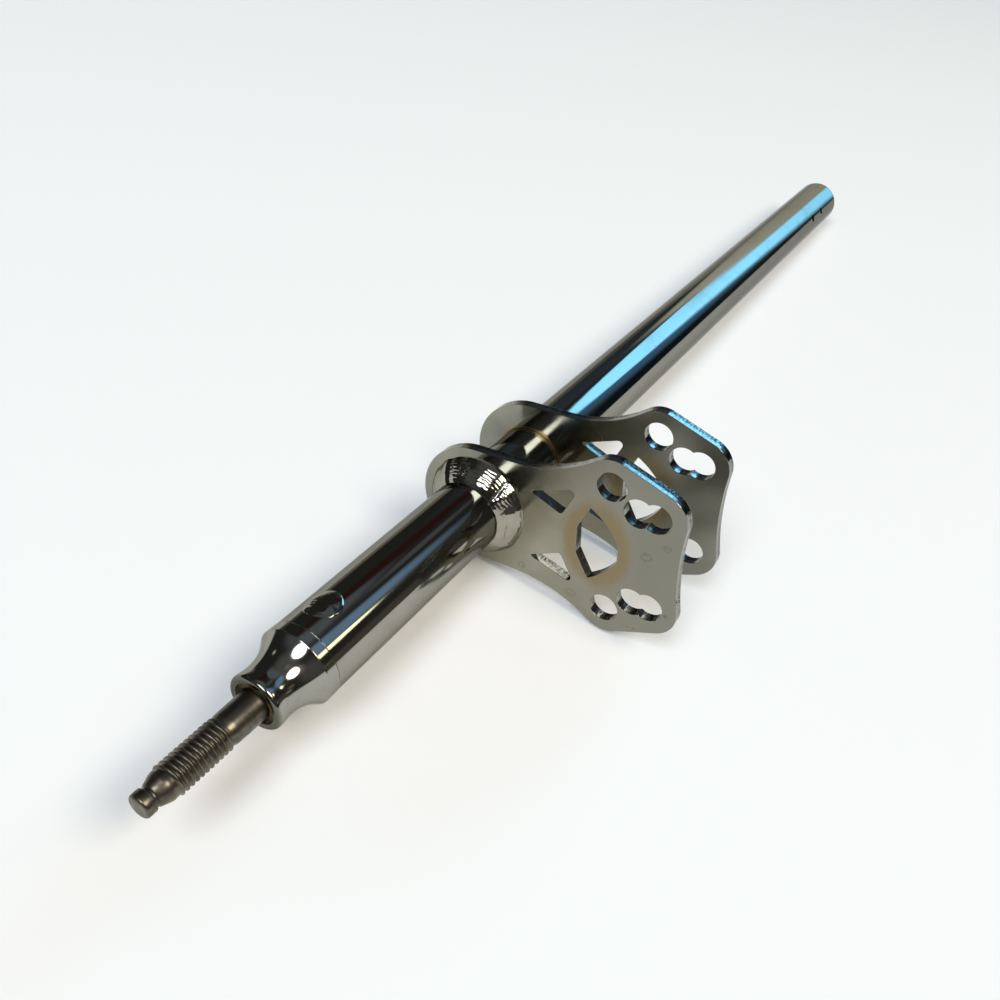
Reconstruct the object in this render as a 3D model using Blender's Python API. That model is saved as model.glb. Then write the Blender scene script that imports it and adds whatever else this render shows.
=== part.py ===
import math

import bmesh
import bpy
from mathutils import Matrix, Vector

for old in list(bpy.data.objects):
    bpy.data.objects.remove(old, do_unlink=True)

MM = 0.001

# All driving dimensions are in millimetres and degrees.
# The column's own axes: Z runs up the tube from its lower end, X points along the arms, Y is square to both.
FIT = 0.3  # air left between pieces that touch on the real part

TUBE_RADIUS = 10.0
TUBE_WALL = 2.0
TUBE_LENGTH = 400.0
TUBE_CHAMFER = 0.3
CROSS_HOLE_RADIUS = 1.6
CROSS_HOLE_ANGLE = -20.0
CROSS_HOLE_FIRST = 25.0  # from the upper end of the tube
CROSS_HOLE_STEP = 14.0

PLATE_THICKNESS = 3.0
LOWER_PLATE_HEIGHT = 70.0  # from the lower end of the tube to the plate's lower face
PLATE_STEP = 28.4  # from the lower plate to the upper one
HEAD_RADIUS = 17.5
LOBE_HOLE = (39.7, 19.3)  # the single bolt hole, mirrored across the arm
LOBE_RADIUS = 7.6
PAIR_INNER = (47.3, 14.0)  # the two overlapping bolt holes, mirrored across the arm
PAIR_OUTER = (52.0, 14.0)
TIP_RADIUS = 8.0
BOLT_HOLE_RADIUS = 4.1
NECK_FILLET = 40.0
ARM_END = 59.0  # reach of the concave outer edge on the arm's middle line
WINDOW_INNER = (30.7, 4.1)  # half of the six-sided window, from the tube outwards
WINDOW_CORNER = (34.4, 11.2)
WINDOW_OUTER = (42.5, 2.8)
WINDOW_BULGE = 0.8
SLIT_CORNERS = ((16.6, 10.5), (30.8, 15.5), (26.1, 6.3))
SLIT_ROUNDING = (0.4, 1.2, 1.0)

BEAD_ON_PLATE = 4.6
BEAD_ON_TUBE = 5.4
BEAD_CROWN = 0.35  # 0 is a flat bevel between the toes, 1 a full quarter ellipse

PLUG_SPIGOT_LENGTH = 18.0
PLUG_COLLAR_STEP = 0.1  # the collar stands this much proud of the tube
PLUG_COLLAR_RADIUS = TUBE_RADIUS + PLUG_COLLAR_STEP
PLUG_COLLAR_END = 3.2  # all of these lie below the tube's lower end
PLUG_NECK_START = 12.0
PLUG_LENGTH = 15.8
PLUG_NECK_RADIUS = 6.9
PLUG_FLARE = 2.45  # how quickly the nose narrows behind the collar
PLUG_LIP_RADIUS = 7.15
PLUG_LIP_ROUNDING = 0.9
PLUG_RECESS_RADIUS = 5.3
PLUG_RECESS_DEPTH = 1.0
PUDDLE_HOLE_RADIUS = 4.2
PUDDLE_HEIGHT = 8.2
PUDDLE_ANGLE = -88.0
PUDDLE_CROWN = 0.25  # how far the middle of a puddle weld stands proud of the tube

STUD_SHANK_RADIUS = 3.9
STUD_HEAD_RADIUS = 6.5
STUD_HEAD_LENGTH = 4.0
THREAD_RADIUS = 4.0
THREAD_DEPTH = 0.7
THREAD_PITCH = 1.25
THREAD_TURNS = 12
THREAD_TOP = 24.5  # below the tube's lower end
THREAD_SIDES = 24
CONE_END = 42.7
CONE_END_RADIUS = 2.72
GROOVE_RADIUS = 2.35
BUTTON_START = 43.5
BUTTON_RADIUS = 2.85
BUTTON_ROUNDING = 0.7
STUD_TIP = 45.9


def smoothStep(value):
    value = min(1.0, max(0.0, value))
    return value * value * (3.0 - 2.0 * value)


def polar(angle, radius=1.0, centre=(0.0, 0.0)):
    return (centre[0] + radius * math.cos(angle), centre[1] + radius * math.sin(angle))


def arc(centre, radius, start, end, steps):
    return [polar(start + (end - start) * i / steps, radius, centre) for i in range(steps + 1)]


def heading(start, end):
    return math.atan2(end[1] - start[1], end[0] - start[0])


def mirrored(points):
    return [(x, -y) for x, y in reversed(points)]


def material(name, colour, roughness, metallic=1.0):
    made = bpy.data.materials.new(name)
    made.use_nodes = True
    shader = made.node_tree.nodes["Principled BSDF"]
    shader.inputs["Base Color"].default_value = (*colour, 1.0)
    shader.inputs["Roughness"].default_value = roughness
    shader.inputs["Metallic"].default_value = metallic
    return made


chrome = material("bright_plated_steel", (0.62, 0.63, 0.64), 0.08)
satin = material("satin_plated_steel", (0.36, 0.33, 0.27), 0.34)
weldSteel = material("plated_weld", (0.42, 0.41, 0.39), 0.22)
bareSteel = material("bare_oiled_steel", (0.16, 0.13, 0.10), 0.38)
braze = material("golden_braze", (0.33, 0.20, 0.07), 0.42)

# How the column lies at rest: the far end of the tube, the head of the upper plate and one of its lobes
# touch the ground together. The arm tilts about the tube until its head and lobe share one tangent.
lobeReach = math.hypot(*LOBE_HOLE)
restTurn = math.atan2(LOBE_HOLE[1], LOBE_HOLE[0]) + math.acos((HEAD_RADIUS - LOBE_RADIUS) / lobeReach)
tubeContact = TUBE_LENGTH - TUBE_CHAMFER
plateContact = LOWER_PLATE_HEIGHT + PLATE_STEP + PLATE_THICKNESS
restPitch = math.atan2(HEAD_RADIUS - TUBE_RADIUS, tubeContact - plateContact)
outward = Vector((math.cos(restTurn), math.sin(restTurn), 0.0))
along = Vector((0.0, 0.0, 1.0))
worldX = along * math.cos(restPitch) - outward * math.sin(restPitch)
worldZ = -(outward * math.cos(restPitch) + along * math.sin(restPitch))
worldY = worldZ.cross(worldX)

# The origin is under the middle of the box round the whole part.
armCircles = [((0.0, 0.0), HEAD_RADIUS)]
for side in (1, -1):
    armCircles.append(((LOBE_HOLE[0], side * LOBE_HOLE[1]), LOBE_RADIUS))
    armCircles.append(((PAIR_OUTER[0], side * PAIR_OUTER[1]), TIP_RADIUS))
across = [(centre[0] * worldY.x + centre[1] * worldY.y, radius) for centre, radius in armCircles]
middleY = 0.5 * (max(y + r for y, r in across) + min(y - r for y, r in across))
farX = TUBE_LENGTH * math.cos(restPitch) + (TUBE_RADIUS - TUBE_CHAMFER) * math.sin(restPitch)
nearX = -STUD_TIP * math.cos(restPitch) - (BUTTON_RADIUS - BUTTON_ROUNDING) * math.sin(restPitch)
drop = tubeContact * math.sin(restPitch) + TUBE_RADIUS * math.cos(restPitch)
place = Vector((-0.5 * (farX + nearX), -middleY, drop)) * MM

rest = bpy.data.objects.new("column_at_rest", None)
rest.empty_display_size = 30 * MM
bpy.context.scene.collection.objects.link(rest)
rest.matrix_world = Matrix.Translation(place) @ Matrix((worldX, worldY, worldZ)).to_4x4()


def put(name, data, look, height=0.0):
    made = bpy.data.objects.new(name, data)
    bpy.context.scene.collection.objects.link(made)
    made.parent = rest
    made.location = (0.0, 0.0, height * MM)
    if look:
        data.materials.append(look)
    return made


def settle(made, sharpAngle=30.0):
    bpy.context.view_layer.update()
    graph = bpy.context.evaluated_depsgraph_get()
    finished = bpy.data.meshes.new_from_object(made.evaluated_get(graph))
    made.modifiers.clear()
    made.data = finished
    finished.shade_smooth()
    finished.set_sharp_from_angle(angle=math.radians(sharpAngle))
    return made


def turned(name, profile, look, sides, closed=True):
    # The profile holds (radius, height) pairs and runs down the outer side.
    outline = bpy.data.meshes.new(name)
    last = len(profile) if closed else len(profile) - 1
    edges = [(i, (i + 1) % len(profile)) for i in range(last)]
    outline.from_pydata([(r * MM, 0.0, z * MM) for r, z in profile], edges, [])
    made = put(name, outline, look)
    spin = made.modifiers.new("turn", "SCREW")
    spin.axis = "Z"
    spin.angle = 2 * math.pi
    spin.steps = sides
    spin.render_steps = sides
    spin.use_merge_vertices = True
    spin.merge_threshold = 0.00001
    return made


def cutter(name, radius, length, height, angle):
    # A round bar square to the tube's axis, pointing at the given angle round it.
    shape = bpy.data.meshes.new(name)
    bar = bmesh.new()
    bmesh.ops.create_cone(
        bar,
        cap_ends=True,
        segments=28,
        radius1=radius * MM,
        radius2=radius * MM,
        depth=length * MM,
        matrix=Matrix.Rotation(math.radians(angle), 4, "Z") @ Matrix.Rotation(math.pi / 2, 4, "Y"),
    )
    bar.to_mesh(shape)
    bar.free()
    made = put(name, shape, None, height)
    made.hide_render = True
    made.display_type = "WIRE"
    return made


# Tube: a turned ring with broken edges, then its drilled holes.
boreRadius = TUBE_RADIUS - TUBE_WALL
tubeProfile = [
    (boreRadius + TUBE_CHAMFER, TUBE_LENGTH),
    (TUBE_RADIUS - TUBE_CHAMFER, TUBE_LENGTH),
    (TUBE_RADIUS, TUBE_LENGTH - TUBE_CHAMFER),
    (TUBE_RADIUS, TUBE_CHAMFER),
    (TUBE_RADIUS - TUBE_CHAMFER, 0.0),
    (boreRadius + TUBE_CHAMFER, 0.0),
    (boreRadius, TUBE_CHAMFER),
    (boreRadius, TUBE_LENGTH - TUBE_CHAMFER),
]
tube = turned("column_tube", tubeProfile, chrome, 64)
drills = [
    cutter("puddle_drill", PUDDLE_HOLE_RADIUS, 4 * TUBE_RADIUS, PUDDLE_HEIGHT, PUDDLE_ANGLE),
]
for number in range(2):
    height = TUBE_LENGTH - CROSS_HOLE_FIRST - number * CROSS_HOLE_STEP
    drills.append(cutter(f"hub_drill_{number}", CROSS_HOLE_RADIUS, 4 * TUBE_RADIUS, height, CROSS_HOLE_ANGLE))
for drill in drills:
    cut = tube.modifiers.new(drill.name, "BOOLEAN")
    cut.operation = "DIFFERENCE"
    cut.solver = "EXACT"
    cut.object = drill
settle(tube)

# Arm plates: one flat outline with its holes, given its thickness and used twice.
tangentTurn = math.acos((TIP_RADIUS - LOBE_RADIUS) / math.dist(LOBE_HOLE, PAIR_OUTER))
tangentAngle = heading(PAIR_OUTER, LOBE_HOLE) - tangentTurn
pairReach = PAIR_OUTER[0] ** 2 + PAIR_OUTER[1] ** 2
endRadius = (TIP_RADIUS**2 - pairReach - ARM_END**2 + 2 * ARM_END * PAIR_OUTER[0]) / (
    2 * (ARM_END - PAIR_OUTER[0] - TIP_RADIUS)
)
endCentre = (ARM_END + endRadius, 0.0)
filletRise = HEAD_RADIUS + NECK_FILLET
filletX = LOBE_HOLE[0] - math.sqrt((NECK_FILLET + LOBE_RADIUS) ** 2 - (filletRise - LOBE_HOLE[1]) ** 2)
filletCentre = (filletX, filletRise)
halfOutline = (
    arc(endCentre, endRadius, math.pi, heading(endCentre, PAIR_OUTER), 6)[:-1]
    + arc(PAIR_OUTER, TIP_RADIUS, heading(PAIR_OUTER, endCentre), tangentAngle, 8)
    + arc(LOBE_HOLE, LOBE_RADIUS, tangentAngle, heading(LOBE_HOLE, filletCentre), 10)
    + arc(filletCentre, NECK_FILLET, heading(filletCentre, LOBE_HOLE), -math.pi / 2, 8)[1:]
    + arc((0.0, 0.0), HEAD_RADIUS, math.pi / 2, math.pi, 16)
)
outline = halfOutline + mirrored(halfOutline)[1:-1]


def roundHole(centre, radius, sides):
    return [polar(2 * math.pi * i / sides, radius, centre) for i in range(sides)]


def pairHole(first, second, radius, steps):
    # Two overlapping round holes drawn as one outline with a cusp on each side.
    half = math.acos(0.5 * math.dist(first, second) / radius)
    turn = heading(first, second)
    return (
        arc(second, radius, turn - math.pi + half, turn + math.pi - half, steps)[:-1]
        + arc(first, radius, turn + half, turn + 2 * math.pi - half, steps)[:-1]
    )


def roundedCorners(corners, roundings, steps=4):
    points = []
    for i, corner in enumerate(corners):
        here = Vector(corner)
        back = (Vector(corners[i - 1]) - here).normalized()
        ahead = (Vector(corners[(i + 1) % len(corners)]) - here).normalized()
        half = 0.5 * back.angle(ahead)
        middle = here + (back + ahead).normalized() * (roundings[i] / math.sin(half))
        start = here + back * (roundings[i] / math.tan(half)) - middle
        end = here + ahead * (roundings[i] / math.tan(half)) - middle
        sweep = math.atan2(start.x * end.y - start.y * end.x, start.dot(end))
        first = math.atan2(start.y, start.x)
        points += arc(middle, roundings[i], first, first + sweep, steps)
    return points


def bulgedEdge(start, end, bulge, steps=6):
    # A side of the window that swells away from the window's middle.
    run = Vector(end) - Vector(start)
    out = Vector((run.y, -run.x)).normalized() * bulge
    points = []
    for i in range(steps):
        share = i / steps
        point = Vector(start) + run * share + out * (4 * share * (1 - share))
        points.append((point.x, point.y))
    return points


halfWindow = bulgedEdge(WINDOW_OUTER, WINDOW_CORNER, WINDOW_BULGE) + [WINDOW_CORNER, WINDOW_INNER]
window = halfWindow + mirrored(halfWindow)
loops = [
    outline,
    roundHole((0.0, 0.0), TUBE_RADIUS + FIT, 64),
    window,
]
for side in (1, -1):
    loops.append(roundHole((LOBE_HOLE[0], side * LOBE_HOLE[1]), BOLT_HOLE_RADIUS, 24))
    inner = (PAIR_INNER[0], side * PAIR_INNER[1])
    outer = (PAIR_OUTER[0], side * PAIR_OUTER[1])
    loops.append(pairHole(inner, outer, BOLT_HOLE_RADIUS, 16))
    loops.append(roundedCorners([(x, side * y) for x, y in SLIT_CORNERS], SLIT_ROUNDING))
plateShape = bpy.data.curves.new("arm_plate", "CURVE")
plateShape.dimensions = "2D"
plateShape.fill_mode = "BOTH"
plateShape.extrude = 0.5 * PLATE_THICKNESS * MM
for loop in loops:
    spline = plateShape.splines.new("POLY")
    spline.points.add(len(loop) - 1)
    for point, (x, y) in zip(spline.points, loop):
        point.co = (x * MM, y * MM, 0.0, 1.0)
    spline.use_cyclic_u = True
plateShape.materials.append(satin)
plateMiddle = LOWER_PLATE_HEIGHT + 0.5 * PLATE_THICKNESS
put("lower_arm_plate", plateShape, None, plateMiddle)
put("upper_arm_plate", plateShape, None, plateMiddle + PLATE_STEP)

# Weld beads: a crowned fillet turned round the tube, under the lower plate and on top of the upper one.
beadInner = TUBE_RADIUS + FIT


def beadProfile(face, away):
    seat = face + away * FIT
    points = [(beadInner, seat)]
    for i in range(8):
        share = i / 7
        flat = (1 - share, share)
        full = (math.cos(share * math.pi / 2), math.sin(share * math.pi / 2))
        across, up = [f * (1 - BEAD_CROWN) + e * BEAD_CROWN for f, e in zip(flat, full)]
        points.append((beadInner + across * BEAD_ON_PLATE, seat + away * up * BEAD_ON_TUBE))
    return points[:-1] + [(beadInner + 0.05, points[-1][1]), (beadInner, points[-1][1] - away * 0.2)]


lowerBead = beadProfile(LOWER_PLATE_HEIGHT, -1)
upperBead = beadProfile(LOWER_PLATE_HEIGHT + PLATE_STEP + PLATE_THICKNESS, 1)
settle(turned("lower_plate_weld", lowerBead, weldSteel, 48))
settle(turned("upper_plate_weld", list(reversed(upperBead)), weldSteel, 48))

# Plug: spigot in the tube, crisp collar over its end, flared nose with a round lip, bored for the stud.
spigotRadius = boreRadius - FIT
plugBore = THREAD_RADIUS + FIT
plugProfile = [
    (plugBore, PLUG_SPIGOT_LENGTH),
    (spigotRadius - 0.8, PLUG_SPIGOT_LENGTH),
    (spigotRadius, PLUG_SPIGOT_LENGTH - 0.8),
    (spigotRadius, -FIT),
    (PLUG_COLLAR_RADIUS - 0.3, -FIT),
    (PLUG_COLLAR_RADIUS, -FIT - 0.3),
]
for i in range(11):
    share = i / 10
    height = -PLUG_COLLAR_END - share * (PLUG_NECK_START - PLUG_COLLAR_END)
    swell = (1 - share) ** PLUG_FLARE
    plugProfile.append((PLUG_NECK_RADIUS + swell * (PLUG_COLLAR_RADIUS - PLUG_NECK_RADIUS), height))
lipTop = PLUG_LENGTH - PLUG_LIP_ROUNDING
for i in range(1, 5):
    share = i / 4
    height = -PLUG_NECK_START - share * (lipTop - PLUG_NECK_START)
    plugProfile.append((PLUG_NECK_RADIUS + smoothStep(share) * (PLUG_LIP_RADIUS - PLUG_NECK_RADIUS), height))
lipCentre = (PLUG_LIP_RADIUS - PLUG_LIP_ROUNDING, -lipTop)
plugProfile += arc(lipCentre, PLUG_LIP_ROUNDING, 0.0, -math.pi / 2, 5)[1:]
plugProfile += [
    (PLUG_RECESS_RADIUS, -PLUG_LENGTH),
    (PLUG_RECESS_RADIUS, -PLUG_LENGTH + PLUG_RECESS_DEPTH),
    (plugBore, -PLUG_LENGTH + PLUG_RECESS_DEPTH),
]
settle(turned("end_plug", plugProfile, chrome, 40))

brazeInner = STUD_SHANK_RADIUS + FIT
brazeOuter = PLUG_RECESS_RADIUS - FIT
brazeSeat = -PLUG_LENGTH + PLUG_RECESS_DEPTH - FIT
brazeProfile = [
    (brazeInner, brazeSeat),
    (brazeOuter, brazeSeat),
    (brazeOuter, brazeSeat - 0.3),
    (0.5 * (brazeInner + brazeOuter), brazeSeat - 0.55),
    (brazeInner, brazeSeat - 0.9),
]
settle(turned("stud_braze_ring", brazeProfile, braze, 32))

# Puddle welds: round pads in the drilled holes, falling to the tube at the rim and softly crowned in the middle.
puddleRadius = PUDDLE_HOLE_RADIUS - FIT
puddleSeat = spigotRadius + FIT
for name, turn in (("plug_weld_front", 0.0), ("plug_weld_back", 180.0)):
    aim = Matrix.Rotation(math.radians(PUDDLE_ANGLE + turn), 4, "Z")
    pad = bmesh.new()
    rings = []
    for radius, level in ((puddleRadius, -1), (puddleRadius, 0), (0.78 * puddleRadius, 1), (0.4 * puddleRadius, 2)):
        ring = []
        for i in range(28):
            side, rise = polar(2 * math.pi * i / 28, radius)
            around = math.asin(side / TUBE_RADIUS)
            depth = (puddleSeat, TUBE_RADIUS - 0.15, TUBE_RADIUS + 0.7 * PUDDLE_CROWN, TUBE_RADIUS + PUDDLE_CROWN)[level + 1]
            spot = Vector((depth * math.cos(around), side, rise + PUDDLE_HEIGHT))
            ring.append(pad.verts.new((aim @ spot) * MM))
        rings.append(ring)
    for lower, upper in zip(rings, rings[1:]):
        for i in range(28):
            pad.faces.new((lower[i - 1], lower[i], upper[i], upper[i - 1]))
    pad.faces.new(rings[-1])
    pad.faces.new(list(reversed(rings[0])))
    bmesh.ops.triangulate(pad, faces=[face for face in pad.faces if len(face.verts) > 4])
    bmesh.ops.recalc_face_normals(pad, faces=pad.faces)
    shape = bpy.data.meshes.new(name)
    pad.to_mesh(shape)
    pad.free()
    shape.shade_smooth()
    shape.set_sharp_from_angle(angle=math.radians(50))
    put(name, shape, weldSteel)

# Stud: a head inside the tube, a plain shank through the plug, a real helical thread, a cone and a grooved tip.
studTop = PLUG_SPIGOT_LENGTH + FIT + STUD_HEAD_LENGTH
threadRoot = THREAD_RADIUS - THREAD_DEPTH
stud = bmesh.new()


def studRing(radius, height):
    spots = [polar(2 * math.pi * i / THREAD_SIDES, radius) for i in range(THREAD_SIDES)]
    return [stud.verts.new((x * MM, y * MM, height * MM)) for x, y in spots]


def skin(upper, lower):
    for i in range(THREAD_SIDES):
        stud.faces.new((upper[i - 1], upper[i], lower[i], lower[i - 1]))


upperRings = [
    studRing(STUD_HEAD_RADIUS - 0.5, studTop),
    studRing(STUD_HEAD_RADIUS, studTop - 0.5),
    studRing(STUD_HEAD_RADIUS, PLUG_SPIGOT_LENGTH + FIT),
    studRing(STUD_SHANK_RADIUS, PLUG_SPIGOT_LENGTH + FIT),
    studRing(STUD_SHANK_RADIUS, -PLUG_LENGTH),
    studRing(STUD_SHANK_RADIUS - 0.1, -THREAD_TOP + 0.9),
]
stud.faces.new(upperRings[0])
for upper, lower in zip(upperRings, upperRings[1:]):
    skin(lower, upper)

# Crest and root run down the same helix, half a pitch apart, and both fade over the first and last turn.
count = THREAD_SIDES * THREAD_TURNS
crests = []
roots = []
for i in range(count + 1):
    angle = 2 * math.pi * i / THREAD_SIDES
    height = -THREAD_TOP - THREAD_PITCH * i / THREAD_SIDES
    fade = smoothStep(min(i, count - i) / THREAD_SIDES)
    middle = THREAD_RADIUS - 0.3
    for rail, radius, shift in ((crests, THREAD_RADIUS, 0.0), (roots, threadRoot, 0.5 * THREAD_PITCH)):
        x, y = polar(angle, middle + fade * (radius - middle))
        rail.append(stud.verts.new((x * MM, y * MM, (height - shift) * MM)))
for i in range(count):
    stud.faces.new((crests[i], roots[i], roots[i + 1], crests[i + 1]))
for i in range(count - THREAD_SIDES):
    below = i + THREAD_SIDES
    stud.faces.new((roots[i], crests[below], crests[below + 1], roots[i + 1]))

lowerRings = [studRing(THREAD_RADIUS - 0.3, -THREAD_TOP - THREAD_PITCH * (THREAD_TURNS + 0.9))]
lowerRings.append(studRing(CONE_END_RADIUS, -CONE_END))
lowerRings.append(studRing(GROOVE_RADIUS, -CONE_END - 0.25))
lowerRings.append(studRing(GROOVE_RADIUS, -BUTTON_START + 0.25))
lowerRings.append(studRing(BUTTON_RADIUS, -BUTTON_START))
buttonCentre = (BUTTON_RADIUS - BUTTON_ROUNDING, -STUD_TIP + BUTTON_ROUNDING)
for radius, height in arc(buttonCentre, BUTTON_ROUNDING, 0.0, -math.pi / 2, 3):
    lowerRings.append(studRing(radius, height))
for upper, lower in zip(lowerRings, lowerRings[1:]):
    skin(lower, upper)
stud.faces.new(list(reversed(lowerRings[-1])))

# The helix meets the plain rings above and below it, with one small step face at each end.
shank = upperRings[-1]
cone = lowerRings[0]
for i in range(THREAD_SIDES):
    stud.faces.new((shank[i], crests[i], crests[i + 1], shank[(i + 1) % THREAD_SIDES]))
    last = count - THREAD_SIDES + i
    stud.faces.new((roots[last], cone[i], cone[(i + 1) % THREAD_SIDES], roots[last + 1]))
stud.faces.new((shank[0], crests[THREAD_SIDES], roots[0], crests[0]))
stud.faces.new((cone[0], roots[count - THREAD_SIDES], crests[count], roots[count]))
bmesh.ops.triangulate(stud, faces=[face for face in stud.faces if len(face.verts) > 4])
bmesh.ops.recalc_face_normals(stud, faces=stud.faces)
studShape = bpy.data.meshes.new("lower_stud")
stud.to_mesh(studShape)
stud.free()
studShape.shade_smooth()
studShape.set_sharp_from_angle(angle=math.radians(40))
put("lower_stud", studShape, bareSteel)
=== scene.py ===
import math

import bpy
from mathutils import Matrix, Vector, noise


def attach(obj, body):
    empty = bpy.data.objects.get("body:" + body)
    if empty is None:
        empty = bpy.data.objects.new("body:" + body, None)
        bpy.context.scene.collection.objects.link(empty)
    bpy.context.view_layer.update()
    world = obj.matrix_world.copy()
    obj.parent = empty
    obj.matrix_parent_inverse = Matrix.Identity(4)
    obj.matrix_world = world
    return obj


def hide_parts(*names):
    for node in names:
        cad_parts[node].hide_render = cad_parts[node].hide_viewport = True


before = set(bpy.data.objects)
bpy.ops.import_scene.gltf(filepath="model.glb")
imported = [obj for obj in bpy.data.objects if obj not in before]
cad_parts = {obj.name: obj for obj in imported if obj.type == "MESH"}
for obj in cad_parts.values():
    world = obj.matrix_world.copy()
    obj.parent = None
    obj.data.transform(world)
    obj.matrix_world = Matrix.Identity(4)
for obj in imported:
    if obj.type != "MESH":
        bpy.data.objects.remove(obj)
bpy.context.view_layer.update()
bpy.ops.object.select_all(action="DESELECT")
mm = 0.001
print("frame loaded:", len(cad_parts), "nodes")

# Every piece is modelled upright about the column's own axis, from the tube's lower end, then laid down.
layDown = {
    "turn": 102.96642,  # degrees about the tube, until the arms' head and one lobe touch the ground
    "pitch": 1.4402542,  # degrees that the tube falls towards the wheel end
    "place": (-0.17708895, 0.02215770, 0.02004311),  # where the tube's lower end comes to lie
}
turnAngle = math.radians(layDown["turn"])
pitchAngle = math.radians(layDown["pitch"])
groundward = Vector((math.cos(turnAngle), math.sin(turnAngle), 0))
upTube = Vector((0, 0, 1))
rowX = upTube * math.cos(pitchAngle) - groundward * math.sin(pitchAngle)
rowZ = -(groundward * math.cos(pitchAngle) + upTube * math.sin(pitchAngle))
rowY = rowZ.cross(rowX)
layMatrix = Matrix.Translation(layDown["place"]) @ Matrix((rowX, rowY, rowZ)).to_4x4()
layEuler = layMatrix.to_euler()


def toLinear(hexColour):
    # sRGB hex to the linear colour that a shader socket takes
    parts = [int(hexColour[i : i + 2], 16) / 255 for i in (1, 3, 5)]
    return [c / 12.92 if c <= 0.04045 else ((c + 0.055) / 1.055) ** 2.4 for c in parts] + [1]


def setInputs(tree, node, values):
    # an input takes a plain value or another node's output
    for key, value in values.items():
        if isinstance(value, bpy.types.NodeSocket):
            tree.links.new(value, node.inputs[key])
        else:
            node.inputs[key].default_value = value


def addNode(tree, kind, values, **settings):
    made = tree.nodes.new("ShaderNode" + kind)
    for key, value in settings.items():
        setattr(made, key, value)
    setInputs(tree, made, values)
    return made


def addMath(tree, operation, *values):
    return addNode(tree, "Math", dict(enumerate(values)), operation=operation).outputs[0]


def addVector(tree, operation, *values):
    made = addNode(tree, "VectorMath", dict(enumerate(values)), operation=operation)
    return made.outputs["Value" if operation in ("LENGTH", "DISTANCE") else "Vector"]


def addRamp(tree, value, start, end, low=0, high=1, soft=False):
    # low up to the start, high from the end on
    values = {"Value": value, "From Min": start, "From Max": end, "To Min": low, "To Max": high}
    kind = "SMOOTHSTEP" if soft else "LINEAR"
    return addNode(tree, "MapRange", values, interpolation_type=kind).outputs[0]


def addMix(tree, share, first, second):
    # each colour is sRGB hex, a linear colour or another node's output
    first, second = [toLinear(colour) if isinstance(colour, str) else colour for colour in (first, second)]
    return addNode(tree, "Mix", {0: share, 6: first, 7: second}, data_type="RGBA").outputs[2]


def addNoise(tree, point, scale, detail, roughness, distortion=0):
    values = {"Scale": scale, "Detail": detail, "Roughness": roughness, "Distortion": distortion}
    return addNode(tree, "TexNoise", {"Vector": point, **values}).outputs[0]


def addBump(tree, height, strength, depth, under=None):
    values = {"Height": height, "Strength": strength, "Distance": depth}
    if under is not None:
        values["Normal"] = under
    return addNode(tree, "Bump", values).outputs[0]


def startMaterial(name, glancing=1.0):
    # A metal shader and the column's own coordinates, in metres, with Z up the tube.
    # glancing: how much of its light the plating gives back at a flat angle
    made = bpy.data.materials.new(name)
    made.use_nodes = True
    tree = made.node_tree
    shader = tree.nodes["Principled BSDF"]
    tint = (glancing, glancing, 0.97 * glancing, 1)  # a trace of warmth
    setInputs(tree, shader, {"Metallic": 1, "Specular Tint": tint})
    coords = addNode(tree, "TexCoord", {})
    laid = {"Vector": coords.outputs["Object"], "Location": layDown["place"], "Rotation": layEuler}
    onColumn = addNode(tree, "Mapping", laid, vector_type="TEXTURE")
    return made, tree, shader, onColumn.outputs["Vector"]


def startPlating(name, look):
    # Bright plating: lines left by the tool, a slow waviness and thin smears that dull it.
    made, tree, shader, point = startMaterial(name, look["glancing"])
    lines = addNoise(tree, addVector(tree, "MULTIPLY", point, look["stretch"]), *look["lines"])
    slowBump = addBump(tree, addNoise(tree, point, *look["waves"]), *look["waveBump"])
    setInputs(tree, shader, {"Normal": addBump(tree, lines, *look["lineBump"], slowBump)})
    smears = addRamp(tree, addNoise(tree, point, *look["smears"]), *look["smearEdge"], soft=True)
    hazed = addMix(tree, smears, look["colour"], look["hazeColour"])
    return made, tree, shader, point, smears, hazed


def smoothstep(low, high, value):
    share = min(1, max(0, (value - low) / (high - low)))
    return share * share * (3 - 2 * share)


def plateau(value, edges):
    # rises between the first two edges and falls between the last two
    return smoothstep(edges[0], edges[1], value) * (1 - smoothstep(edges[2], edges[3], value))


def arcPoints(centre, radius, start, end, steps):
    # points on part of a circle, angles in degrees
    points = []
    for i in range(steps + 1):
        angle = math.radians(start + (end - start) * i / steps)
        points.append((centre[0] + radius * math.cos(angle), centre[1] + radius * math.sin(angle)))
    return points


def pick(*pieces):
    # only these are selected, and the last one is active
    bpy.ops.object.select_all(action="DESELECT")
    for piece in pieces:
        piece.select_set(True)
        bpy.context.view_layer.objects.active = piece


def addObject(name, data):
    made = bpy.data.objects.new(name, data)
    bpy.context.scene.collection.objects.link(made)
    return made


def bakePlace():
    # the active piece's place goes into its mesh
    bpy.ops.object.transform_apply(location=True, rotation=True, scale=True)


def openMesh():
    bpy.ops.object.mode_set(mode="EDIT")
    bpy.ops.mesh.select_all(action="SELECT")


def closeMesh():
    bpy.ops.mesh.normals_make_consistent(inside=False)
    bpy.ops.object.mode_set(mode="OBJECT")


def weldPoints():
    bpy.ops.mesh.select_all(action="SELECT")
    bpy.ops.mesh.remove_doubles(threshold=0.002 * mm)


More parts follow.
